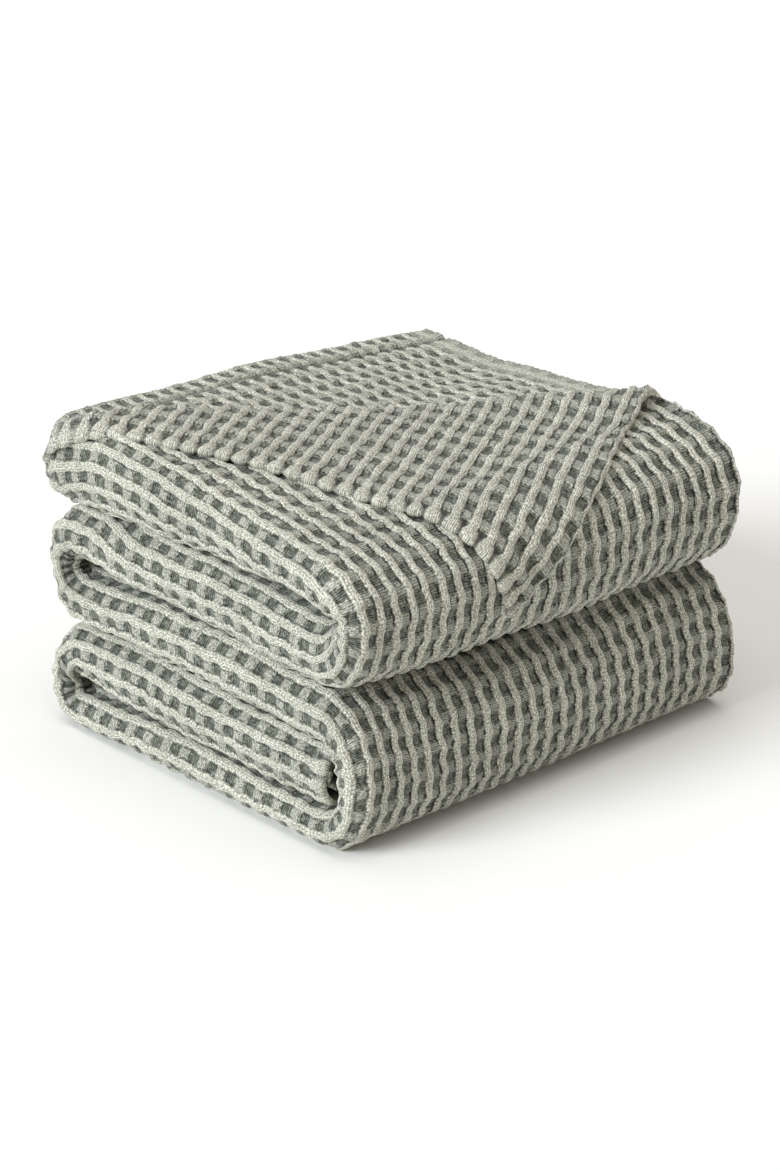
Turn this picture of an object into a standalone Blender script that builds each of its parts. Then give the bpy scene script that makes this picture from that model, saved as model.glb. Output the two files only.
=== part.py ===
"""Waffle weave cotton throw, folded into a stack with its top corner turned over.

The cloth is one thin rectangle. It is folded in half twice across its width, so it becomes a strip
of four plies. The strip then runs back and forth in five passes that lie on each other. The corner
of the top ply is turned over along a slant and hangs down the near side.

Across the stack is X, along each pass is Y (the near side faces -Y), and up is Z.
"""

from math import pi

import bmesh
import bpy
import numpy as np

for leftover in list(bpy.data.objects):
    bpy.data.objects.remove(leftover, do_unlink=True)

# Sizes, in metres.
MM = 0.001
WIDE = 317 * MM  # the stack across its plies, along X: 26 squares of the waffle
DEEP = 276 * MM  # the stack along its passes, along Y: 17 squares, which are longer that way
SHEET = 3.0 * MM  # thickness of the cloth
HEM = 18 * MM  # width of the doubled hem at each end
HEM_SHEET = 4.2 * MM  # thickness of the hem

# The four plies of the strip, across the cloth.
PLY_GAP = 5.8 * MM  # from the first ply to the second
LOOSE_GAP = 0.22  # from the fourth to the third, as a share of the way from the fourth to the first
WRAP = 15 * MM  # how far the outer wrap reaches past the plies it joins
WRAP_RUN = 58 * MM  # cloth in the outer wrap
INNER_WRAP = 10.6 * MM  # the same for the wrap inside it
INNER_RUN = 42 * MM
SIDE_WRAP = 5 * MM  # the same for the fold on the other side
SIDE_RUN = 14 * MM
EDGE_BACK = 3 * MM  # how far the free edges stay back from the stack's side

# The passes, from the turned corner to the tucked end: the heights of their undersides and tops.
# `over` is 1 where the first ply is on top.
PASSES = {
    # name: (underside near, underside far, top near, top far, over)
    "top": (156 * MM, 146 * MM, 184 * MM, 200 * MM, 1),
    "second": (104 * MM, 107 * MM, 154 * MM, 144 * MM, -1),
    "third": (68 * MM, 68 * MM, 101 * MM, 104.5 * MM, 1),
    "bottom": (0 * MM, 0 * MM, 24 * MM, 24 * MM, -1),
    "tucked": (26.5 * MM, 26 * MM, 65 * MM, 66 * MM, 1),
}

# The bends that join them. `start` is how far in the bend begins, `ring` is the thickness of the
# four plies where they turn, `open` is how much the hollow inside it widens, and the last two
# say how square its first and second halves are (2 is round). `outer` is the ply outside it.
BENDS = {
    # name: (side, start, ring, open, square first, square second, outer)
    "upper near": (-1, 48 * MM, 18 * MM, 4 * MM, 2.1, 2.4, "first"),
    "upper far": (1, 30 * MM, 15 * MM, 6 * MM, 2.2, 2.2, "last"),
    "lower near": (-1, 40 * MM, 18 * MM, 1 * MM, 2.2, 2.4, "first"),
    "lower far": (1, 28 * MM, 15 * MM, 5 * MM, 2.2, 2.2, "first"),
}
OPENING = 60 * MM  # the length over which a hollow widens
TUCK_BACK = 28 * MM  # how far the tucked end stays back from the near side
SAMPLES = 120  # points along each run when lengths are worked out
LEAD = 20 * MM  # how far the first run is carried on past the hem, for the turned corner

# The turned corner: where its slant starts on the hem and ends on the side edge, in the flat cloth.
SLANT_ON_HEM = WIDE + 22 * MM
SLANT_ON_EDGE = 222 * MM
ROLL = 3.6 * MM  # radius of the fold along the slant at the hem
ROLL_AT_EDGE = 8 * MM  # and where it opens out at the side edge
LIFT = 5 * MM  # how high the turned corner lies over the ply under it
STRETCH = 1.07  # how much the corner stretches on the bias
SLIDE = 0.05  # and how much it slides along the slant

# How the soft stack settles.
SIDE_DROP = 29 * MM  # the top, towards its back corner, where the first ply is turned away
CORNER_DROP = 9 * MM  # the top's near corner at the left face
SEAM_DROP = 14 * MM  # the groove between the two near bends, away from the left face
GROOVE = 103 * MM  # its height before it drops


def smooth(x):
    x = np.clip(x, 0, 1)
    return x * x * (3 - 2 * x)


def pass_rails(name, start, end):
    """The two outside plies of one straight pass, from y = start to y = end."""
    low_near, low_far, high_near, high_far, over = PASSES[name]
    y = np.linspace(start, end, SAMPLES)
    far = smooth(y / DEEP)
    low = low_near + (low_far - low_near) * far + SHEET / 2
    high = high_near + (high_far - high_near) * far - SHEET / 2
    first, last = (high, low) if over == 1 else (low, high)
    return {"first": np.stack([y, first], axis=1), "last": np.stack([y, last], axis=1)}


def arc(start, end, middle, reach, squareness):
    """A bend from start to end, round the height `middle`, bulging by `reach` along Y."""
    turn = np.linspace(0, pi, SAMPLES)
    power = 2 / np.where(turn < pi / 2, squareness[0], squareness[1])
    out = np.abs(np.sin(turn)) ** power
    down = np.abs(np.cos(turn)) ** power
    from_z = np.where(turn < pi / 2, start[1], end[1])
    return np.stack([start[0] + reach * out, middle + (from_z - middle) * down], axis=1)


def bend_rails(name, before, after):
    """The bend between two passes. It also widens the hollow between their inner plies."""
    side, start, ring, opening, first_square, second_square, outer = BENDS[name]
    inner = "last" if outer == "first" else "first"
    middle = (before[inner][-1][1] + after[inner][0][1]) / 2
    for run, end in ((before[inner], -1), (after[inner], 0)):
        away = np.sign(run[end][1] - middle)
        nearness = 1 - np.abs(run[:, 0] - run[end][0]) / OPENING
        run[:, 1] += away * opening * smooth(nearness)
    reach = {outer: start - SHEET / 2}
    reach[inner] = reach[outer] - ring + SHEET
    square = {outer: (first_square, second_square), inner: (3, 3)}
    return {
        ply: arc(before[ply][-1], after[ply][0], middle, side * reach[ply], square[ply])
        for ply in ("first", "last")
    }


def strip_rails():
    """Lengths along the cloth, and the outside plies of the folded strip at each, as (y, z)."""
    starts = [row[1] for row in BENDS.values()]
    turns = [starts[0], DEEP - starts[1], starts[2], DEEP - starts[3]]
    stops = [DEEP + LEAD, *turns, TUCK_BACK]
    passes = [pass_rails(name, *stops[k : k + 2]) for k, name in enumerate(PASSES)]
    runs = [passes[0]]
    for name, before, after in zip(BENDS, passes, passes[1:]):
        runs += [bend_rails(name, before, after), after]
    first = np.concatenate([run["first"] for run in runs])
    last = np.concatenate([run["last"] for run in runs])
    steps = [np.linalg.norm(np.diff(rail, axis=0), axis=1) for rail in (first, last)]
    along = np.concatenate([[0], np.cumsum(np.maximum(*steps))]) - LEAD
    ends = np.arange(1, len(runs)) * SAMPLES
    return along, first, last, along[ends]


ALONG, FIRST_RAIL, LAST_RAIL, RUN_ENDS = strip_rails()
LENGTH = ALONG[-1]  # the flat cloth, along Y
PLY_RUN = WIDE - WRAP - EDGE_BACK  # the first ply, and the second one
MID_RUN = WIDE - WRAP - SIDE_WRAP - SHEET / 2  # the third and fourth
STATIONS = np.cumsum([0, PLY_RUN, WRAP_RUN, MID_RUN, SIDE_RUN, MID_RUN, INNER_RUN, PLY_RUN])
BREADTH = STATIONS[-1]  # the flat cloth, across its plies


def wrap(part, reach, radius):
    """One wrap of the cloth: how far out it is at `part` of its length, and its place from 1 to
    -1 between the two plies it joins. It runs straight where it reaches past its own radius."""
    straight = np.maximum(reach - radius, 0)
    arc_run = pi * radius
    run = part * (2 * straight + arc_run)
    turn = np.clip((run - straight) / arc_run, 0, 1) * pi
    out = np.minimum(np.minimum(run, 2 * straight + arc_run - run), straight)
    return out + np.minimum(reach, radius) * np.sin(turn), np.cos(turn)


def strip_section(u, apart):
    """Where the cloth lies across the strip: x, and its share of the way from the last outside
    ply (0) to the first (1), which are `apart`."""
    near = np.minimum(PLY_GAP / apart, 1 / 3)
    loose = np.maximum(near, LOOSE_GAP)
    inside = (1 - near - loose) / 2
    ply = np.clip(np.searchsorted(STATIONS, u, side="right") - 1, 0, 6)
    past = u - STATIONS[ply]
    part = past / np.diff(STATIONS)[ply]
    left = WRAP + SHEET / 2
    right = WIDE - SIDE_WRAP - SHEET / 2
    outer_out, outer_place = wrap(part, WRAP, apart / 2)
    inner_out, inner_place = wrap(part, INNER_WRAP, apart * inside)
    side_out, side_place = wrap(part, SIDE_WRAP, apart * loose / 2)
    where = [ply == k for k in range(6)]
    x = np.select(
        where,
        [
            left + PLY_RUN - past,
            left - outer_out,
            left + (right - left) * part,
            right + side_out,
            right - (right - left) * part,
            left - inner_out,
        ],
        left + past,
    )
    share = np.select(
        where,
        [
            np.ones_like(u),
            (1 + outer_place) / 2,
            np.zeros_like(u),
            loose * (1 - side_place) / 2,
            loose,
            loose + inside * (1 - inner_place),
        ],
        1 - near,
    )
    return x, share


def settled(x, y, z):
    """The drop of the soft stack: two corners of its top, and the groove of the near bends."""
    up = np.clip(z / (190 * MM), 0, 1)
    back = smooth((x - 40 * MM) / (400 * MM)) * smooth((y - 50 * MM) / (190 * MM))
    corner = (1 - smooth(x / (150 * MM))) * (1 - smooth(y / (130 * MM)))
    groove = np.clip(np.minimum(z / GROOVE, (2 * GROOVE - z) / GROOVE), 0, 1)
    near = 1 - smooth(y / (110 * MM))
    seam = groove * near * smooth(x / (130 * MM))
    return -SIDE_DROP * back * up - CORNER_DROP * corner * smooth(up) - SEAM_DROP * seam


def folded(u, v):
    """The folded strip, before its corner is turned: the point of the cloth at (u, v)."""
    rail = [np.interp(v, ALONG, line) for line in (*FIRST_RAIL.T, *LAST_RAIL.T)]
    apart = np.hypot(rail[0] - rail[2], rail[1] - rail[3])
    x, share = strip_section(u, apart)
    y = rail[2] + share * (rail[0] - rail[2])
    z = rail[3] + share * (rail[1] - rail[3])
    return np.stack([x, y, z + settled(x, y, z)], axis=-1)


def facing(surface, u, v):
    """The way the cloth faces at (u, v)."""
    step = 0.4 * MM
    across = surface(u + step, v) - surface(u - step, v)
    along = surface(u, v + step) - surface(u, v - step)
    normal = np.cross(across, along)
    return normal / np.maximum(np.linalg.norm(normal, axis=-1, keepdims=True), 1e-15)


SLANT = np.array([SLANT_ON_HEM, -SLANT_ON_EDGE]) / np.hypot(SLANT_ON_HEM, SLANT_ON_EDGE)
TO_CORNER = np.array([SLANT[1], -SLANT[0]])


def past_slant(u, v):
    """How far (u, v) is past the slant towards the corner, and how far along the slant."""
    from_edge = np.stack([u, v - SLANT_ON_EDGE], axis=-1)
    return from_edge @ TO_CORNER, from_edge @ SLANT


def cloth(u, v):
    """The finished shape: the folded strip with its corner turned over along the slant."""
    past, along = past_slant(u, v)
    share = np.clip(along / np.hypot(SLANT_ON_HEM, SLANT_ON_EDGE), 0, 1)
    roll = ROLL_AT_EDGE + (ROLL - ROLL_AT_EDGE) * smooth(share * 2.2)
    turn = np.clip(past / roll, 0, pi)
    flat = np.maximum(past - pi * roll, 0)
    sideways = np.where(past > 0, roll * np.sin(turn) - STRETCH * flat, past)
    along = along - SLIDE * flat
    settled = smooth(flat / (40 * MM))
    lift = roll * (1 - np.cos(turn)) + (LIFT - 2 * roll) * settled
    base_u = along * SLANT[0] + sideways * TO_CORNER[0]
    base_v = along * SLANT[1] + sideways * TO_CORNER[1] + SLANT_ON_EDGE
    on_top = past > 0
    base_u = np.where(on_top, base_u, u)
    base_v = np.where(on_top, base_v, v)
    lift = np.where(on_top, lift, 0)
    return folded(base_u, base_v) + lift[..., None] * facing(folded, base_u, base_v)


def lines(stops, counts):
    parts = [np.linspace(a, b, n, endpoint=False) for a, b, n in zip(stops, stops[1:], counts)]
    return np.append(np.concatenate(parts), stops[-1])


def flat_mesh():
    """The flat cloth in (u, v), cut where it will bend."""
    u_lines = lines(STATIONS, [4, 8, 3, 4, 3, 6, 4])
    v_stops = np.concatenate([[0, HEM], RUN_ENDS, [LENGTH - HEM, LENGTH]])
    v_lines = lines(v_stops, [1, 4, 10, 4, 8, 4, 10, 4, 8, 4, 1])
    bm = bmesh.new()
    grid = [[bm.verts.new((u, v, 0)) for v in v_lines] for u in u_lines]
    for near, far in zip(grid, grid[1:]):
        for k in range(len(near) - 1):
            bm.faces.new((near[k], far[k], far[k + 1], near[k + 1]))
    for distance in np.linspace(0, pi * ROLL_AT_EDGE, 8):
        cut_corner(bm, distance * TO_CORNER, TO_CORNER, -1e-7)
    drape = v_lines[(v_lines > 100 * MM) & (v_lines < RUN_ENDS[1])]
    for level in drape:
        cut_corner(bm, *level_line(1, level), pi * ROLL_AT_EDGE)
    side = u_lines[(u_lines > PLY_RUN - 40 * MM) & (u_lines < PLY_RUN + WRAP_RUN)]
    for level in (PLY_RUN - 30 * MM, *side):
        cut_corner(bm, *level_line(0, level), -1e-7)
    bmesh.ops.triangulate(bm, faces=bm.faces[:])
    return bm


def level_line(axis, level):
    """The line across the turned corner that comes to lie over u = level (axis 0) or v = level
    (axis 1): one point of it, from the slant's end, and the way it faces."""
    start = (level - (0, SLANT_ON_EDGE)[axis]) / SLANT[axis]
    past_rate = -SLIDE * SLANT[axis] - STRETCH * TO_CORNER[axis]
    return pi * ROLL * TO_CORNER + start * SLANT, past_rate * TO_CORNER + SLANT[axis] * SLANT


def cut_corner(bm, offset, across, margin):
    """Cuts the faces that lie past the slant by more than `margin`, along one straight line."""
    chosen = []
    for face in bm.faces:
        corners = np.array([vert.co[:2] for vert in face.verts])
        if past_slant(*corners.T)[0].max() > margin:
            chosen.append(face)
    verts = {vert for face in chosen for vert in face.verts}
    edges = {edge for face in chosen for edge in face.edges}
    bmesh.ops.bisect_plane(
        bm,
        geom=[*verts, *edges, *chosen],
        dist=1e-6,
        plane_co=(offset[0], offset[1] + SLANT_ON_EDGE, 0),
        plane_no=(across[0], across[1], 0),
    )


def thickness(v):
    in_hem = (v < HEM * 0.99) | (v > LENGTH - HEM * 0.99)
    return np.where(in_hem, HEM_SHEET, SHEET)


def solid(bm):
    """Gives the flat mesh its folded shape and its thickness, as one closed solid."""
    bm.verts.index_update()
    bm.verts.ensure_lookup_table()
    places = np.array([vert.co[:2] for vert in bm.verts])
    u, v = places.T
    middle = cloth(u, v)
    out = facing(cloth, u, v) * thickness(v)[:, None] / 2
    count = len(middle)
    points = np.concatenate([middle + out, middle - out])
    faces = []
    for face in bm.faces:
        ring = [vert.index for vert in face.verts]
        faces.append(ring)
        faces.append([k + count for k in ring[::-1]])
    for edge in bm.edges:
        if edge.is_boundary:
            loop = edge.link_loops[0]
            a, b = loop.vert.index, loop.link_loop_next.vert.index
            faces.append([b, a, a + count, b + count])
    return points, faces


def blanket():
    bm = flat_mesh()
    points, faces = solid(bm)
    bm.free()
    low, high = points.min(axis=0), points.max(axis=0)
    points = points - [(low[0] + high[0]) / 2, (low[1] + high[1]) / 2, low[2]]
    mesh = bpy.data.meshes.new("blanket")
    mesh.from_pydata(points.tolist(), [], faces)
    mesh.validate()
    obj = bpy.data.objects.new("blanket", mesh)
    bpy.context.scene.collection.objects.link(obj)
    return obj


def cotton():
    material = bpy.data.materials.new("waffle_cotton")
    material.use_nodes = True
    shader = material.node_tree.nodes["Principled BSDF"]
    shader.inputs["Base Color"].default_value = (0.42, 0.43, 0.37, 1)
    shader.inputs["Roughness"].default_value = 0.9
    return material


blanket().data.materials.append(cotton())
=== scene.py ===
"""Looks of a waffle weave cotton throw, folded into a stack with its top corner turned over.

The cloth is worked out flat, as (u, v): u runs across it from the side edge of its turned corner,
and v along it from the hem there. `cloth` folds that place into the stack, as the frame has it.
Each length of the cloth is then a thin sheet with the waffle's ribs and hollows on its faces.
"""

from functools import partial
from math import pi

import bpy
import numpy as np
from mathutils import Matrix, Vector


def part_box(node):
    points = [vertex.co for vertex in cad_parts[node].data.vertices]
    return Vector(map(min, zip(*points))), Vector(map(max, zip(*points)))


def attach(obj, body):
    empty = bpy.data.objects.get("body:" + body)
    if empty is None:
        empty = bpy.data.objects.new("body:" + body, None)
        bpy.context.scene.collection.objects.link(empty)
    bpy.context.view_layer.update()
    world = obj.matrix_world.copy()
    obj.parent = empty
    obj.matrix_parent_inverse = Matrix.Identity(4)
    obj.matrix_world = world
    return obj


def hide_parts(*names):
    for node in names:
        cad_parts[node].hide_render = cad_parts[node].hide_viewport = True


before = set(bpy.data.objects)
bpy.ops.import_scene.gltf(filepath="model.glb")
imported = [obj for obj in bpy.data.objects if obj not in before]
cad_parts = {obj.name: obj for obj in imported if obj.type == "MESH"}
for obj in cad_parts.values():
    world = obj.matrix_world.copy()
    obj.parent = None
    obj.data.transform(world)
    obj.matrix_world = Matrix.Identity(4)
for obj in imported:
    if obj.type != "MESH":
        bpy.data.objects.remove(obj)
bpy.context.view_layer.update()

LOW, HIGH = (np.array(corner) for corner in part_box("blanket"))

# Sizes of the fold, in metres.
MM = 0.001
WIDE = 317 * MM  # the stack across its plies, along X
DEEP = 276 * MM  # the stack along its passes, along Y
SHEET = 3.0 * MM  # thickness that the fold is worked out with
PLY_GAP = 5.8 * MM  # from the first ply to the second
LOOSE_GAP = 0.22  # from the fourth to the third, as a share of the way from the fourth to the first
WRAP = 15 * MM  # how far the outer wrap reaches past the plies it joins
WRAP_RUN = 58 * MM  # cloth in the outer wrap
INNER_WRAP = 10.6 * MM  # the same for the wrap inside it
INNER_RUN = 42 * MM
SIDE_WRAP = 5 * MM  # the same for the fold on the other side
SIDE_RUN = 14 * MM
EDGE_BACK = 3 * MM  # how far the free edges stay back from the stack's side

PASSES = {
    # name: (underside near, underside far, top near, top far, over: 1 where the first ply is up)
    "top": (156 * MM, 146 * MM, 184 * MM, 200 * MM, 1),
    "second": (104 * MM, 107 * MM, 154 * MM, 144 * MM, -1),
    "third": (68 * MM, 68 * MM, 101 * MM, 104.5 * MM, 1),
    "bottom": (0 * MM, 0 * MM, 24 * MM, 24 * MM, -1),
    "tucked": (26.5 * MM, 26 * MM, 65 * MM, 66 * MM, 1),
}
BENDS = {
    # name: (side, where it starts from that side, cloth round its hollow, how much the hollow
    # opens, squareness of its first and second half, and which ply is outside)
    "upper near": (-1, 48 * MM, 18 * MM, 4 * MM, 2.1, 2.4, "first"),
    "upper far": (1, 30 * MM, 15 * MM, 6 * MM, 2.2, 2.2, "last"),
    "lower near": (-1, 40 * MM, 18 * MM, 1 * MM, 2.2, 2.4, "first"),
    "lower far": (1, 28 * MM, 15 * MM, 5 * MM, 2.2, 2.2, "first"),
}
OPENING = 60 * MM  # the length over which a hollow widens
TUCK_BACK = 28 * MM  # how far the tucked end stays back from the near side
SAMPLES = 120  # points along each run when lengths are worked out
LEAD = 20 * MM  # how far the first run is carried on past the hem, for the turned corner

SLANT_ON_HEM = WIDE + 22 * MM  # where the turned corner's fold starts on the hem
SLANT_ON_EDGE = 222 * MM  # and ends on the side edge
ROLL = 3.6 * MM  # radius of that fold at the hem
ROLL_AT_EDGE = 8 * MM  # and where it opens out at the side edge
ROUND = 0.72  # height of that fold as a share of its width
LIFT = 5 * MM  # how high the turned corner lies over the ply under it
STRETCH = 1.07  # how much the corner stretches on the bias
SLIDE = 0.05  # and how much it slides along the slant

SIDE_DROP = 29 * MM  # the top, towards its back corner
CORNER_DROP = 9 * MM  # the top's near corner at the left face
SEAM_DROP = 14 * MM  # the groove between the two near bends, away from the left face
GROOVE = 103 * MM  # its height before it drops

# Sizes of the weave: one square with its rib is a repeat.
ACROSS = 12.2 * MM  # repeat across the ribs
ALONG_RIBS = 16.2 * MM  # repeat along them: one light and one dark square
BODY = 1.6 * MM  # half the cloth's thickness under the relief
RIB = 1.7 * MM  # how far a rib stands over that
LIGHT_SQUARE = {1: 0.5 * MM, -1: 1.2 * MM}  # how far a light square does, on each face
PIT = 1.4 * MM  # how far a dark square sinks
CLOSER = 1.13  # how much closer the ribs lie on the turned corner, which is pulled on the bias
HIDDEN = 1.2 * MM  # half thickness on a face that nothing shows
HEM = 17 * MM  # the doubled hem
HEM_EXTRA = 0.5 * MM  # its extra thickness on each face
HEM_HOLES = 8.5 * MM  # how far the row of holes between its lobes is from the edge
LOBE = 1.2 * MM  # how far a lobe of the hem stands up
HOLE = 3.2 * MM  # how deep those holes are
SECOND_HEM = 20 * MM  # where the second ply's hem is stitched down
PLAIN_BAND = 21 * MM  # the plainer band beside the other side edge
EDGE_CORD = 1.2 * MM  # how far the corded side edges stand up
EDGE_CORD_AT = 2.6 * MM  # and how far in they do
HEM_ROUND = 3.4 * MM  # how far in the cloth's edge is rounded at a hem
SIDE_ROUND = 2.6 * MM  # and at a side edge

# Sizes of the yarns and of the scattered marks on the cloth.
STRAND = 1.35 * MM  # spacing of the strands in a cord, as coarse as it needs to be to show
YARN = 1.5 * MM  # the same for the yarns in a square
BAND = 2 * pi / 20  # spacing of a wave texture's bands at scale 1
FUZZ = ACROSS / 7  # 1.7 mm: how the cords' outlines waver
LINT = ACROSS / 12  # 1.0 mm: tufts of loose fibre
FADE = ACROSS / 0.35  # 35 mm: stretches of cloth that are a little paler
PALE_YARN = ACROSS / 4.5  # 2.7 mm: pale yarns that cross the dark squares
DULL_YARN = ACROSS / 2.9  # 4.2 mm: duller stretches of a cord
SLIT_LENGTH = ACROSS / 2.6  # 4.7 mm: the dark slits beside the cords


def smooth(x):
    x = np.clip(x, 0, 1)
    return x * x * (3 - 2 * x)


# ---- The fold ----


def pass_rails(name, start, end):
    """The two outside plies of one straight pass, from y = start to y = end."""
    low_near, low_far, high_near, high_far, over = PASSES[name]
    y = np.linspace(start, end, SAMPLES)
    far = smooth(y / DEEP)
    low = low_near + (low_far - low_near) * far + SHEET / 2
    high = high_near + (high_far - high_near) * far - SHEET / 2
    first, last = (high, low) if over == 1 else (low, high)
    return {"first": np.stack([y, first], axis=1), "last": np.stack([y, last], axis=1)}


def arc(start, end, middle, reach, squareness):
    """A bend from start to end, round the height `middle`, bulging by `reach` along Y."""
    turn = np.linspace(0, pi, SAMPLES)
    power = 2 / np.where(turn < pi / 2, squareness[0], squareness[1])
    out = np.abs(np.sin(turn)) ** power
    down = np.abs(np.cos(turn)) ** power
    from_z = np.where(turn < pi / 2, start[1], end[1])
    return np.stack([start[0] + reach * out, middle + (from_z - middle) * down], axis=1)


def bend_rails(name, before, after):
    """The bend between two passes. It also widens the hollow between their inner plies."""
    side, start, ring, opening, first_square, second_square, outer = BENDS[name]
    inner = "last" if outer == "first" else "first"
    middle = (before[inner][-1][1] + after[inner][0][1]) / 2
    for run, end in ((before[inner], -1), (after[inner], 0)):
        away = np.sign(run[end][1] - middle)
        nearness = 1 - np.abs(run[:, 0] - run[end][0]) / OPENING
        run[:, 1] += away * opening * smooth(nearness)
    reach = {outer: start - SHEET / 2}
    reach[inner] = reach[outer] - ring + SHEET
    square = {outer: (first_square, second_square), inner: (3, 3)}
    return {
        ply: arc(before[ply][-1], after[ply][0], middle, side * reach[ply], square[ply])
        for ply in ("first", "last")
    }


def strip_rails():
    """Lengths along the cloth, and the outside plies of the folded strip at each, as (y, z)."""
    starts = [row[1] for row in BENDS.values()]
    turns = [starts[0], DEEP - starts[1], starts[2], DEEP - starts[3]]
    stops = [DEEP + LEAD, *turns, TUCK_BACK]
    passes = [pass_rails(name, *stops[k : k + 2]) for k, name in enumerate(PASSES)]
    runs = [passes[0]]
    for name, before, after in zip(BENDS, passes, passes[1:]):
        runs += [bend_rails(name, before, after), after]
    first = np.concatenate([run["first"] for run in runs])
    last = np.concatenate([run["last"] for run in runs])
    steps = [np.linalg.norm(np.diff(rail, axis=0), axis=1) for rail in (first, last)]
    along = np.concatenate([[0], np.cumsum(np.maximum(*steps))]) - LEAD
    ends = np.arange(1, len(runs)) * SAMPLES
    return along, first, last, along[ends]


ALONG, FIRST_RAIL, LAST_RAIL, RUN_ENDS = strip_rails()
LENGTH = ALONG[-1]
PLY_RUN = WIDE - WRAP - EDGE_BACK
MID_RUN = WIDE - WRAP - SIDE_WRAP - SHEET / 2
STATIONS = np.cumsum([0, PLY_RUN, WRAP_RUN, MID_RUN, SIDE_RUN, MID_RUN, INNER_RUN, PLY_RUN])
BREADTH = STATIONS[-1]


def wrap_length(reach, radius):
    return 2 * np.maximum(reach - radius, 0) + pi * radius


def wrap(part, reach, radius):
    """One wrap of the cloth: how far out it is at `part` of its length, and its place from 1 to
    -1 between the two plies it joins. It runs straight where it reaches past its own radius."""
    straight = np.maximum(reach - radius, 0)
    whole = wrap_length(reach, radius)
    run = part * whole
    turn = np.clip((run - straight) / (pi * radius), 0, 1) * pi
    out = np.minimum(np.minimum(run, whole - run), straight)
    return out + np.minimum(reach, radius) * np.sin(turn), np.cos(turn)


def rails_at(v):
    """The two outside plies at v, as first y, first z, last y and last z, and how far apart."""
    rail = [np.interp(v, ALONG, line) for line in (*FIRST_RAIL.T, *LAST_RAIL.T)]
    return rail, np.hypot(rail[0] - rail[2], rail[1] - rail[3])


def ply_gaps(apart):
    """The gaps first to second ply and fourth to third, and half the one between, as shares."""
    near = np.minimum(PLY_GAP / apart, 1 / 3)
    loose = np.maximum(near, LOOSE_GAP)
    return near, loose, (1 - near - loose) / 2


def strip_section(u, apart):
    """Where the cloth lies across the strip: x, and its share of the way from the last outside
    ply (0) to the first (1), which are `apart`."""
    near, loose, inside = ply_gaps(apart)
    ply = np.clip(np.searchsorted(STATIONS, u, side="right") - 1, 0, 6)
    past = u - STATIONS[ply]
    part = past / np.diff(STATIONS)[ply]
    left = WRAP + SHEET / 2
    right = WIDE - SIDE_WRAP - SHEET / 2
    outer_out, outer_place = wrap(part, WRAP, apart / 2)
    inner_out, inner_place = wrap(part, INNER_WRAP, apart * inside)
    side_out, side_place = wrap(part, SIDE_WRAP, apart * loose / 2)
    where = [ply == k for k in range(6)]
    x = np.select(
        where,
        [
            left + PLY_RUN - past,
            left - outer_out,
            left + (right - left) * part,
            right + side_out,
            right - (right - left) * part,
            left - inner_out,
        ],
        left + past,
    )
    share = np.select(
        where,
        [
            np.ones_like(u),
            (1 + outer_place) / 2,
            np.zeros_like(u),
            loose * (1 - side_place) / 2,
            loose,
            loose + inside * (1 - inner_place),
        ],
        1 - near,
    )
    return x, share


def settled(x, y, z):
    """The drop of the soft stack: two corners of its top, and the groove of the near bends."""
    up = np.clip(z / (190 * MM), 0, 1)
    back = smooth((x - 40 * MM) / (400 * MM)) * smooth((y - 50 * MM) / (190 * MM))
    corner = (1 - smooth(x / (150 * MM))) * (1 - smooth(y / (130 * MM)))
    groove = np.clip(np.minimum(z / GROOVE, (2 * GROOVE - z) / GROOVE), 0, 1)
    near = 1 - smooth(y / (110 * MM))
    seam = groove * near * smooth(x / (130 * MM))
    return -SIDE_DROP * back * up - CORNER_DROP * corner * smooth(up) - SEAM_DROP * seam


def folded(u, v):
    """The folded strip, before its corner is turned: the point of the cloth at (u, v)."""
    rail, apart = rails_at(v)
    x, share = strip_section(u, apart)
    y = rail[2] + share * (rail[0] - rail[2])
    z = rail[3] + share * (rail[1] - rail[3])
    return np.stack([x, y, z + settled(x, y, z)], axis=-1)


def facing(surface, u, v):
    """The way the cloth's outer face looks at (u, v)."""
    step = 0.4 * MM
    across = surface(u + step, v) - surface(u - step, v)
    along = surface(u, v + step) - surface(u, v - step)
    normal = np.cross(across, along)
    return normal / np.maximum(np.linalg.norm(normal, axis=-1, keepdims=True), 1e-15)


SLANT = np.array([SLANT_ON_HEM, -SLANT_ON_EDGE]) / np.hypot(SLANT_ON_HEM, SLANT_ON_EDGE)
TO_CORNER = np.array([SLANT[1], -SLANT[0]])


def cloth(u, v):
    """The finished shape: the folded strip with its corner turned over along the slant."""
    from_edge = np.stack([u, v - SLANT_ON_EDGE], axis=-1)
    past, along = from_edge @ TO_CORNER, from_edge @ SLANT
    share = np.clip(along / np.hypot(SLANT_ON_HEM, SLANT_ON_EDGE), 0, 1)
    roll = ROLL_AT_EDGE + (ROLL - ROLL_AT_EDGE) * smooth(share * 2.2)
    turn = np.clip(past / roll, 0, pi)
    flat = np.maximum(past - pi * roll, 0)
    sideways = np.where(past > 0, roll * np.sin(turn) - STRETCH * flat, past)
    along = along - SLIDE * flat
    lift = ROUND * roll * (1 - np.cos(turn)) + (LIFT - 2 * ROUND * roll) * smooth(flat / (40 * MM))
    base_u = along * SLANT[0] + sideways * TO_CORNER[0]
    base_v = along * SLANT[1] + sideways * TO_CORNER[1] + SLANT_ON_EDGE
    on_top = past > 0
    base_u = np.where(on_top, base_u, u)
    base_v = np.where(on_top, base_v, v)
    lift = np.where(on_top, lift, 0)
    return folded(base_u, base_v) + lift[..., None] * facing(folded, base_u, base_v)


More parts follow.
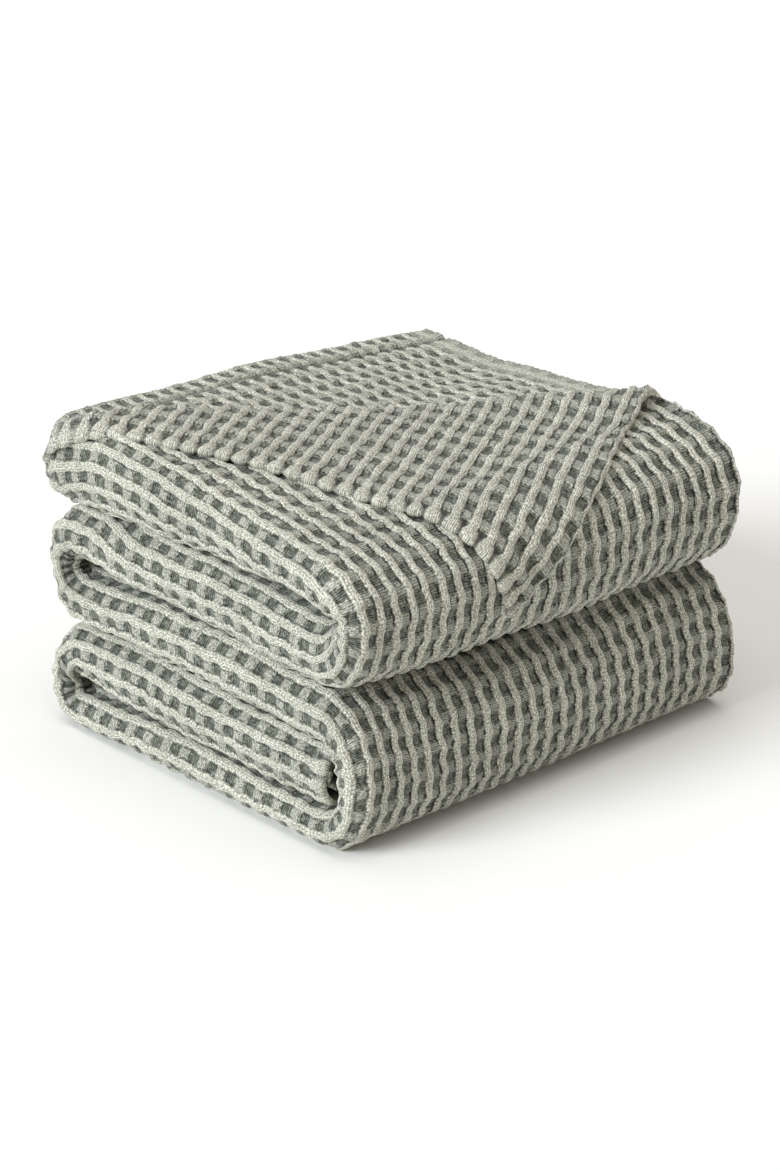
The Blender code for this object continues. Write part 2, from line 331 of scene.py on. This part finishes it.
def frame_shift():
    """From the fold's own corner to the frame's: the smooth sheet fills the frame's box."""
    u, v = np.meshgrid(np.linspace(0, BREADTH, 700), np.linspace(0, LENGTH, 800))
    middle = cloth(u, v)
    out = facing(cloth, u, v) * SHEET / 2
    points = np.concatenate([middle + out, middle - out]).reshape(-1, 3)
    low, high = points.min(axis=0), points.max(axis=0)
    shift = (LOW + HIGH) / 2 - (low + high) / 2
    shift[2] = LOW[2] - low[2]
    return shift


SHIFT = frame_shift()


# ---- The weave ----


def laid_across(u, v):
    """The way across the cloth to (u, v) as it really lies. The two wraps take more cloth where
    the stack is thick and less where it is thin, and the plies hidden by them make up for it."""
    _, apart = rails_at(v)
    _, _, inside = ply_gaps(apart)
    outer_extra = (wrap_length(WRAP, apart / 2) - WRAP_RUN) * smooth(v / (60 * MM))
    inner_extra = wrap_length(INNER_WRAP, apart * inside) - INNER_RUN
    over_outer = np.clip((u - STATIONS[1]) / WRAP_RUN, 0, 1)
    after_outer = np.clip((STATIONS[3] - u) / MID_RUN, 0, 1)
    over_inner = np.clip((STATIONS[6] - u) / INNER_RUN, 0, 1)
    before_inner = np.clip((u - STATIONS[4]) / MID_RUN, 0, 1)
    return u + outer_extra * over_outer * after_outer - inner_extra * over_inner * before_inner


def chance(column, row, salt):
    """An even but scattered number from 0 to 1 for each place in the weave."""
    return (np.sin(column * 12.9898 + row * 78.233 + salt * 37.719) * 43758.5453) % 1


def weave_place(u, v):
    """Where (u, v) lies in the weave, in repeats across and along. The yarns wander a little."""
    across, along = laid_across(u, v) / ACROSS, v / ALONG_RIBS
    turned = np.stack([u, v - SLANT_ON_EDGE], axis=-1) @ TO_CORNER > 0
    across = np.where(turned, CLOSER * u / ACROSS, across)
    sway = 0.14 * np.sin(v / (61 * MM) + 1.7 * np.sin(u / (83 * MM)))
    sway += 0.05 * np.sin(v / (23 * MM) + u / (29 * MM))
    column = np.floor(across + sway + 0.5)
    sway += 0.012 * np.sin(2 * pi * along + pi * column)
    sway += 0.03 * np.sin(2.3 * along + 6.3 * chance(column, 0, 1))
    sway += 0.012 * np.sin(5.3 * along + 6.3 * chance(column, 0, 2))
    drift = 0.14 * np.sin(u / (47 * MM) + 1.3 * np.sin(v / (110 * MM)))
    drift += 0.05 * np.sin(u / (14 * MM) + v / (31 * MM))
    return across + sway * smooth(u / (20 * MM)), along + drift * smooth(v / HEM)


def ridge_at(distance, width):
    """A soft ridge of height 1 where distance is 0."""
    return np.exp(-((distance / width) ** 2))


def hem_parts(u, v, off):
    """The lobes along a hem, the holes between them, and the second ply's stitched groove."""
    from_hem = np.minimum(v, LENGTH - v)
    lobed = u < STATIONS[6] - 20 * MM
    lobe = (1 - smooth((from_hem - HEM_HOLES) / (4 * MM) + 0.5)) * lobed
    hole = ridge_at(from_hem - HEM_HOLES, 2.6 * MM) * smooth((off - 0.3) / 0.12)
    gap = 0.75 * lobe * smooth((off - 0.4) / 0.08)
    groove = ridge_at(v - SECOND_HEM, 1.6 * MM) * (1 - lobed)
    return lobe, np.maximum(np.maximum(hole * lobed, gap), 0.8 * groove)


def selvedge(u):
    """The plainer band beside the cloth's other side edge."""
    return smooth((u - BREADTH + PLAIN_BAND) / (5 * MM))


def relief(u, v, face):
    """How far one face of the cloth stands from its middle at (u, v)."""
    across, along = weave_place(u, v)
    off = np.abs((across + 0.5) % 1 - 0.5)
    beat = np.cos(2 * pi * along)
    column, row = np.floor(across), np.floor(2 * along + 0.5)

    # A cord, wider at the light squares and pressed flatter on the plies inside the fold.
    rib = smooth((0.32 + 0.035 * beat - off) / 0.22)
    wander = 0.2 * np.sin(7.1 * along + 6.3 * chance(np.floor(across + 0.5), 0, 3))
    pressed = 1 - 0.5 * smooth((u - STATIONS[6] + 10 * MM) / (20 * MM))
    cord = RIB * pressed * (1 + 0.2 * beat + wander) * rib

    # The squares between the cords: puffed where light, sunk where dark, no two quite alike.
    light = smooth((beat + 0.5 - 0.6 * (off - 0.3)) / 0.8)
    puff = LIGHT_SQUARE[face] * (0.5 + chance(column, row, 4)) * light
    square = puff - PIT * (0.6 + 0.5 * chance(column, row, 5)) * (1 - light)
    slit = (0.3 + 0.9 * chance(column, row, 6)) * MM * ridge_at(off - 0.29, 0.07) * light
    woven = cord + (1 - rib) * square - slit
    woven = woven * (1 - 0.75 * selvedge(u)) + 0.8 * MM * selvedge(u)

    # The hem, with a lobe at the end of each cord.
    from_hem, from_side = np.minimum(v, LENGTH - v), np.minimum(u, BREADTH - u)
    lobe, hole = hem_parts(u, v, off)
    hem = 1 - smooth((from_hem - HEM) / (3 * MM) + 0.5)
    knob = LOBE * np.sqrt(smooth((0.45 - off) / 0.28))
    height = BODY + woven * (1 - lobe) + knob * lobe + HEM_EXTRA * hem - HOLE * hole

    # The edges are round, and a twisted cord runs along each side edge.
    end = np.sqrt(1 - (1 - np.clip(from_hem / HEM_ROUND, 0, 1)) ** 2)
    side = np.sqrt(1 - (1 - np.clip(from_side / SIDE_ROUND, 0, 1)) ** 2)
    twist = 1 + 0.4 * np.sin(2 * pi * v / (5.4 * MM))
    edge_cord = EDGE_CORD * twist * ridge_at(from_side - EDGE_CORD_AT, 1.9 * MM)
    return np.maximum(height + edge_cord, 0.3 * MM) * np.minimum(end, side) + 0.05 * MM


def ragged(u, v):
    """The place moved a little near the cloth's edges, which are scalloped and not straight."""
    across, along = weave_place(u, v)
    bulge = 0.5 * MM * np.cos(2 * pi * across) * (u < STATIONS[6] - 20 * MM)
    wander = 0.5 * np.sin(2 * pi * along)
    wander = MM * (wander + 0.3 * np.sin(v / (9 * MM)) + 0.8 * np.sin(v / (23 * MM)))
    near_start, near_end = np.exp(-v / (5 * MM)), np.exp(-(LENGTH - v) / (5 * MM))
    left_side, right_side = np.exp(-u / (9 * MM)), np.exp(-(BREADTH - u) / (9 * MM))
    return u + wander * (left_side - 0.4 * right_side), v - bulge * (near_start - near_end)


def uneven(u, v, z):
    """How the soft plies wave in and out, less towards the flat underside."""
    wave = 0.9 * np.sin(u / (19 * MM) + 0.8) * np.sin(v / (27 * MM) + 2.0)
    wave += 0.7 * np.sin(u / (41 * MM) + 2.1 * np.sin(v / (90 * MM)))
    wave += 0.5 * np.sin(v / (11 * MM) + u / (33 * MM))
    return wave * MM * smooth((z - 8 * MM) / (30 * MM))


def weave_marks(u, v):
    """Marks for the material: the hem's lobes, painted shade in the hems' gaps, and painted shade
    on the cloth away from the key-lit left face, which darkens its light squares and its slits."""
    across, _ = weave_place(u, v)
    lobe, gap = hem_parts(u, v, np.abs((across + 0.5) % 1 - 0.5))
    flat = smooth((PLY_RUN + 6 * MM - u) / (16 * MM)) + smooth((u - LEFT_END + 8 * MM) / (16 * MM))
    over_bend = 0.5 + 0.5 * smooth((v - SLANT_ON_EDGE + 20 * MM) / (30 * MM))
    # Painted shade away from the key-lit left face, half as strong towards the turned corner, none
    # on the inner plies.
    unlit_side_shade = flat * over_bend * (u < STATIONS[5])
    return np.maximum(lobe, 0.55 * selvedge(u)), gap, unlit_side_shade


# ---- The sheets ----

# Where the sheets meet along the cloth, near the start or end of a pass or bend.
UPPER_TURN, UPPER_BACK = RUN_ENDS[1] + 30 * MM, RUN_ENDS[2] - 12 * MM
FAR_TURN, FAR_BACK = RUN_ENDS[2] - 15 * MM, RUN_ENDS[3] + 25 * MM
LOWER_TURN, LOWER_BACK = RUN_ENDS[4] - 34 * MM, RUN_ENDS[5] + 24 * MM
END_TURN, END_BACK = RUN_ENDS[6] - 5 * MM, RUN_ENDS[7] + 25 * MM
LEFT_SPLIT = 780 * MM  # where the left face's two sheets meet
LEFT = PLY_RUN - 8 * MM  # where the left face's sheet begins
LEFT_END = PLY_RUN + WRAP_RUN + 12 * MM  # and ends
RIGHT = STATIONS[3] - 22 * MM  # where the right side's sheet begins
RIGHT_END = STATIONS[4] + 22 * MM
TOP_SPLIT = 236 * MM  # where the turned corner's sheet meets the near bend's
SECOND_SPLIT = TOP_SPLIT + 14 * MM  # how far along the second ply its top shows
OPEN_END = 130 * MM  # how far the hollow at the far end can be seen into

SHEETS = {
    # name: (u from, u to, v from, v to, divisions of a repeat across, along, the woven face)
    "turned_corner": (0, LEFT, 0, TOP_SPLIT, 8, 9, "both"),
    "upper_near_bend": (0, LEFT, TOP_SPLIT, UPPER_TURN, 9, 10, "outer"),
    "second_pass": (0, LEFT, UPPER_TURN, UPPER_BACK, 2, 2, "none"),
    "upper_inner_bend": (0, LEFT, UPPER_BACK, LOWER_TURN, 2, 3, "none"),
    "lower_near_bend": (0, LEFT, LOWER_TURN, LOWER_BACK, 9, 10, "outer"),
    "underside": (0, LEFT, LOWER_BACK, END_TURN, 4, 5, "outer"),
    "lower_far_bend": (0, LEFT, END_TURN, END_BACK, 6, 8, "outer"),
    "tucked_end": (0, LEFT, END_BACK, LENGTH, 2, 3, "none"),
    "left_face_upper": (LEFT, LEFT_END, 0, LEFT_SPLIT, 9, 10, "outer"),
    "left_face_lower": (LEFT, LEFT_END, LEFT_SPLIT, LENGTH, 9, 10, "outer"),
    "fourth_ply_upper": (LEFT_END, RIGHT, 0, FAR_TURN, 2, 2, "none"),
    "upper_far_bend": (LEFT_END, RIGHT, FAR_TURN, FAR_BACK, 6, 8, "outer"),
    "fourth_ply_lower": (LEFT_END, RIGHT, FAR_BACK, LENGTH, 2, 2, "none"),
    "right_side": (RIGHT, RIGHT_END, 0, LENGTH, 6, 8, "outer"),
    "third_ply_end": (RIGHT_END, STATIONS[5], 0, OPEN_END, 6, 8, "outer"),
    "third_ply": (RIGHT_END, STATIONS[5], OPEN_END, LENGTH, 2, 2, "none"),
    "inner_wrap": (STATIONS[5], STATIONS[6], 0, LENGTH, 6, 6, "outer"),
    "second_ply_top": (STATIONS[6], BREADTH, 0, SECOND_SPLIT, 8, 9, "both"),
    "second_ply": (STATIONS[6], BREADTH, SECOND_SPLIT, LENGTH, 2, 2, "none"),
}
COARSE = 3  # a woven face has this many divisions for each one of a hidden face
EDGE_STEPS = (0.35, 1.15)  # the first places in from the cloth's edge, in divisions


def lines(start, end, repeat, divisions, edge):
    """Places across a sheet, a whole number of coarse steps, closer at the cloth's own edge."""
    steps = COARSE * max(1, round((end - start) / repeat * divisions / COARSE))
    places = np.linspace(start, end, steps + 1)
    step = places[1] - places[0]
    if start == 0:
        places[1:3] = step * np.array(EDGE_STEPS)
    if end == edge:
        places[-3:-1] = end - step * np.array(EDGE_STEPS[::-1])
    return places


def face_grid(u_lines, v_lines, side, woven):
    """One face of a sheet: its points, and the places of them in the flat cloth. Its underside is
    pressed flat by what it rests on."""
    u, v = np.meshgrid(u_lines, v_lines, indexing="ij")
    middle = cloth(*ragged(u, v))
    out = facing(cloth, u, v)
    far = relief(u, v, side) if woven else np.full_like(u, HIDDEN)
    wave = uneven(u, v, middle[..., 2])
    points = middle + out * (side * far + wave)[..., None] + SHIFT
    points[..., 2] = np.maximum(points[..., 2], LOW[2])
    return points, np.stack([u, v], axis=-1)


def quads(rows, columns, first, turned):
    index = first + np.arange(rows * columns).reshape(rows, columns)
    ring = [index[:-1, :-1], index[1:, :-1], index[1:, 1:], index[:-1, 1:]]
    return np.stack(ring[::-1] if turned else ring, axis=-1).reshape(-1, 4).tolist()


def rim(rows, columns, first):
    """The border of a grid, as its four sides in turn."""
    index = first + np.arange(rows * columns).reshape(rows, columns)
    return index[:, 0], index[-1, :], index[::-1, -1], index[0, ::-1]


def sheet_mesh(name, u_lines, v_lines, woven_face):
    """A closed sheet. Where only its outer face shows, the other one has fewer points."""
    steps = (1, COARSE if woven_face == "outer" else 1)
    points, places, faces, rims = [], [], [], []
    first = 0
    for side, step in zip((1, -1), steps):
        woven = woven_face == "both" or (woven_face == "outer" and side == 1)
        grid, flat = face_grid(u_lines[::step], v_lines[::step], side, woven)
        rows, columns = grid.shape[:2]
        points.append(grid.reshape(-1, 3))
        places.append(flat.reshape(-1, 2))
        faces += quads(rows, columns, first, side == -1)
        rims.append(rim(rows, columns, first))
        first += rows * columns
    smooth_count = len(faces)
    for outer, inner in zip(*rims):
        spans = min(len(outer), len(inner)) - 1
        jump_out, jump_in = (len(outer) - 1) // spans, (len(inner) - 1) // spans
        for k in range(spans):
            above = outer[k * jump_out : (k + 1) * jump_out + 1]
            below = inner[k * jump_in : (k + 1) * jump_in + 1]
            faces.append([*above[::-1].tolist(), *below.tolist()])
    mesh = bpy.data.meshes.new(name)
    mesh.from_pydata(np.concatenate(points).tolist(), [], faces)
    smoothed = np.arange(len(faces)) < smooth_count
    mesh.polygons.foreach_set("use_smooth", smoothed)
    mark_weave(mesh, *np.concatenate(places).T)
    mesh.update()
    return mesh


def mark_weave(mesh, u, v):
    """Keeps on the mesh its place in the weave, as a UV map, the hem's lobes, and the masks of
    painted shade.
    """
    corner = np.empty(len(mesh.loops), np.int32)
    mesh.loops.foreach_get("vertex_index", corner)
    weave = np.stack(weave_place(u, v), axis=-1)[corner]
    mesh.uv_layers.new(name="weave").data.foreach_set("uv", weave.astype(np.float32).ravel())
    for label, values in zip(("hem_lobe", "hem_gap_shade", "unlit_side_shade"), weave_marks(u, v)):
        layer = mesh.attributes.new(label, "FLOAT", "POINT")
        layer.data.foreach_set("value", values.astype(np.float32))


# ---- Materials ----


def linear(code):
    """An sRGB hex colour as linear RGBA."""
    parts = [int(code[k : k + 2], 16) / 255 for k in (1, 3, 5)]
    return (*[p / 12.92 if p <= 0.04045 else ((p + 0.055) / 1.055) ** 2.4 for p in parts], 1)


def add(tree, kind, *values, inputs=(), out=0, **settings):
    """Adds a node and returns its output `out`. Values go to its inputs in order, and `inputs`
    by name or number. Each is a value, or another node's output to link from."""
    node = tree.nodes.new("ShaderNode" + kind)
    for key, value in settings.items():
        setattr(node, key, value)
    for key, value in {**dict(enumerate(values)), **dict(inputs)}.items():
        if isinstance(value, bpy.types.NodeSocket):
            tree.links.new(value, node.inputs[key])
        else:
            node.inputs[key].default_value = value
    return node.outputs[out]


def woven_cotton():
    """Waffle weave of soft cotton: thick cream cords with squares of sage and grey-green yarn
    between them. Matt, with a faint bloom of loose fibre at grazing angles."""
    material = bpy.data.materials.new("woven_cotton")
    material.use_nodes = True
    shader = material.node_tree.nodes["Principled BSDF"]
    for name, value in (
        ("Roughness", 0.92),
        ("IOR", 1.5),
        ("Specular IOR Level", 0.25),
        ("Sheen Weight", 0.25),
        ("Sheen Roughness", 0.5),
    ):
        shader.inputs[name].default_value = value
    node = partial(add, material.node_tree)
    soft = {"interpolation_type": "SMOOTHSTEP"}
    blend = {"data_type": "RGBA", "out": 2}

    weave = node("UVMap", uv_map="weave")
    across = node("SeparateXYZ", weave)
    along = across.node.outputs["Y"]
    # The hem's lobes, painted shade in the hem's gaps, and painted shade on the side away from the
    # key light.
    lobe, gap, unlit_side_shade = (
        node("Attribute", attribute_name=name, out=2) for name in ("hem_lobe", "hem_gap_shade", "unlit_side_shade")
    )
    fuzz, lint, faded, pale_yarn, dull_yarn, slit_marks = (
        node("TexNoise", inputs={"Vector": weave, "Scale": ACROSS / size, "Detail": detail})
        for size, detail in (
            (FUZZ, 3.0),
            (LINT, 4.0),
            (FADE, 2.0),
            (PALE_YARN, 2.0),
            (DULL_YARN, 2.0),
            (SLIT_LENGTH, 1.0),
        )
    )
    # Single yarns: cords have strands along them, squares have yarns across them.
    strands, yarns = (
        node(
            "TexWave",
            inputs={
                "Vector": weave,
                "Scale": BAND * repeat / spacing,
                "Distortion": 3.0,
                "Detail": 2.0,
                "Detail Scale": 2.5,
            },
            bands_direction=direction,
            out=1,
        )
        for direction, repeat, spacing in (("X", ACROSS, STRAND), ("Y", ALONG_RIBS, YARN))
    )

    # Distance from the rib's middle and from the light square's middle, in repeats.
    waver = node("Math", fuzz, 0.18, -0.09, operation="MULTIPLY_ADD")
    off = node("Math", node("Math", across, 0.5, operation="PINGPONG"), waver, operation="ADD")
    waver = node("Math", fuzz, -0.2, 0.1, operation="MULTIPLY_ADD")
    beat = node("Math", node("Math", along, 0.5, operation="PINGPONG"), waver, operation="ADD")
    # The dark squares are round at their corners, and stop at the hem's lobes.
    dark = node("Math", off, 0.3, beat, operation="MULTIPLY_ADD")
    dark = node("MapRange", dark, 0.3, 0.39, **soft)
    no_lobe = node("Math", 1.0, lobe, operation="SUBTRACT")
    dark = node("Math", dark, no_lobe, operation="MULTIPLY")
    # A lobe is a cord that is wider.
    rib = node("Math", lobe, -0.16, off, operation="MULTIPLY_ADD")
    rib = node("MapRange", rib, 0.17, 0.26, 1.0, 0.0, **soft)
    # Painted shade in the slits, here and there, where a square pulls away from the cord beside it.
    slit = node("MapRange", off, 0.21, 0.25, **soft)
    for share in (
        node("MapRange", off, 0.29, 0.36, 1.0, 0.0, **soft),
        node("MapRange", slit_marks, 0.42, 0.58, 0.1, 1.0, **soft),
        # painted shade: the slits are darker on the side away from the key light
        node("Math", unlit_side_shade, 0.25, 0.72, operation="MULTIPLY_ADD"),
    ):
        slit = node("Math", slit, share, operation="MULTIPLY")
    pale = node("MapRange", pale_yarn, 0.38, 0.64, 0.0, 0.5, **soft)
    dull = node("MapRange", dull_yarn, 0.35, 0.65, 0.0, 0.35, **soft)
    # Painted shade in the hem's holes, the gaps between its lobes, and the second ply's stitched
    # groove.
    gap_shade = node("Math", gap, 0.9, operation="MULTIPLY")

    # Each kind of yarn has two tones: the low one is painted shade in the hollows between yarns,
    # the high one their tops.
    light_square, shaded_light_square, dark_square, cords = (
        node("Mix", inputs={0: bands, 6: linear(low), 7: linear(high)}, **blend)
        for bands, low, high in (
            (yarns, "#A6A899", "#D2D3C5"),
            (yarns, "#85887B", "#BABCAF"),
            (yarns, "#1B1F19", "#747C6D"),
            (strands, "#BFBFB0", "#E6E5D7"),
        )
    )
    dark_square = node("Mix", inputs={0: pale, 6: dark_square, 7: linear("#A8AC9C")}, **blend)
    cords = node("Mix", inputs={0: dull, 6: cords, 7: linear("#A9AA9A")}, **blend)
    colour = light_square
    for share, over in (
        # painted shade: the light squares are darker on the side away from the key light
        (unlit_side_shade, shaded_light_square),
        (dark, dark_square),
        # painted shade in the slits
        (slit, linear("#20241F")),
        (rib, cords),
        # painted shade in the hem's holes and gaps
        (gap_shade, linear("#262A25")),
    ):
        colour = node("Mix", inputs={0: share, 6: colour, 7: over}, **blend)
    lint_tone = node("MapRange", lint, 0.36, 0.64, 0.5, 1.3, **soft)
    fade_tone = node("MapRange", faded, 0.3, 0.7, 0.92, 1.06, **soft)
    tone = node("Math", lint_tone, fade_tone, operation="MULTIPLY")
    grey = node("CombineXYZ", tone, tone, tone)
    colour = node("Mix", inputs={0: 1.0, 6: colour, 7: grey}, blend_type="MULTIPLY", **blend)

    # The yarns' own relief: full on the squares, less on the cords, and fibre over both.
    no_rib = node("Math", 1.0, rib, operation="SUBTRACT")
    rib_share = node("Math", rib, 0.6, operation="MULTIPLY")
    ups = node("Math", yarns, no_rib, operation="MULTIPLY")
    ups = node("Math", strands, rib_share, ups, operation="MULTIPLY_ADD")
    ups = node("Math", lint, 2.4, ups, operation="MULTIPLY_ADD")
    relief_of_yarns = node("Bump", inputs={"Strength": 0.9, "Distance": 0.6 * MM, "Height": ups})
    for output, name in ((colour, "Base Color"), (relief_of_yarns, "Normal")):
        material.node_tree.links.new(output, shader.inputs[name])
    return material


def paper():
    """A plain pale studio floor: smooth matt paper, without a pattern of its own."""
    material = bpy.data.materials.new("matt_paper")
    material.use_nodes = True
    shader = material.node_tree.nodes["Principled BSDF"]
    shader.inputs["Base Color"].default_value = linear("#F6F6F4")
    shader.inputs["Roughness"].default_value = 0.9
    return material


# ---- Building it ----


def make_blanket():
    cotton = woven_cotton()
    for name, (u_from, u_to, v_from, v_to, n_across, n_along, woven_face) in SHEETS.items():
        u_lines = lines(u_from, u_to, ACROSS, n_across, BREADTH)
        v_lines = lines(v_from, v_to, ALONG_RIBS, n_along, LENGTH)
        mesh = sheet_mesh(name, u_lines, v_lines, woven_face)
        mesh.materials.append(cotton)
        piece = bpy.data.objects.new(name, mesh)
        bpy.context.scene.collection.objects.link(piece)
        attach(piece, "root")
        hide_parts("blanket")


def make_floor():
    """A wide flat floor, a hair below what stands on it."""
    mesh = bpy.data.meshes.new("floor")
    far, height = 30.0, LOW[2] - 0.2 * MM
    corners = ((-far, -far), (far, -far), (far, far), (-far, far))
    mesh.from_pydata([(x, y, height) for x, y in corners], [], [(0, 1, 2, 3)])
    mesh.materials.append(paper())
    floor = bpy.data.objects.new("floor", mesh)
    bpy.context.scene.collection.objects.link(floor)


def soft_sun(name, azimuth, elevation, strength, spread, colour):
    """A distant soft light, from `azimuth` degrees round from the near side towards +X."""
    data = bpy.data.lights.new(name, "SUN")
    data.energy = strength * pi
    data.angle = np.radians(spread)
    data.color = linear(colour)[:3]
    turn, rise = np.radians((azimuth, elevation))
    way = Vector((np.sin(turn) * np.cos(rise), -np.cos(turn) * np.cos(rise), np.sin(rise)))
    lamp = bpy.data.objects.new(name, data)
    lamp.rotation_mode = "QUATERNION"
    lamp.rotation_quaternion = (-way).to_track_quat("-Z", "Y")
    bpy.context.scene.collection.objects.link(lamp)


def make_light():
    soft_sun("key", -100, 30, 0.85, 30, "#F3F9FF")
    soft_sun("overhead", 0, 88, 0.37, 60, "#FFFFFF")
    world = bpy.data.worlds.new("studio")
    world.use_nodes = True
    sky = world.node_tree.nodes["Background"]
    sky.inputs["Color"].default_value = linear("#FFF8EE")
    sky.inputs["Strength"].default_value = 0.4
    bpy.context.scene.world = world
    bpy.context.scene.view_settings.view_transform = "Standard"


def make_camera():
    """A long lens that looks at the stack's near left corner from a little above."""
    data = bpy.data.cameras.new("camera")
    data.sensor_fit = "VERTICAL"
    data.sensor_width = data.sensor_height = 36
    data.lens = 143.1
    camera = bpy.data.objects.new("camera", data)
    azimuth, elevation, distance = np.radians(-42.87), np.radians(24.17), 2.792
    target = Vector((-24.1 * MM, -23.3 * MM, 101.9 * MM))
    level = np.cos(elevation)
    back = Vector((np.sin(azimuth) * level, -np.cos(azimuth) * level, np.sin(elevation)))
    camera.location = target + back * distance
    camera.rotation_mode = "QUATERNION"
    camera.rotation_quaternion = (-back).to_track_quat("-Z", "Y")
    bpy.context.scene.collection.objects.link(camera)
    bpy.context.scene.camera = camera


make_blanket()
make_floor()
make_light()
make_camera()
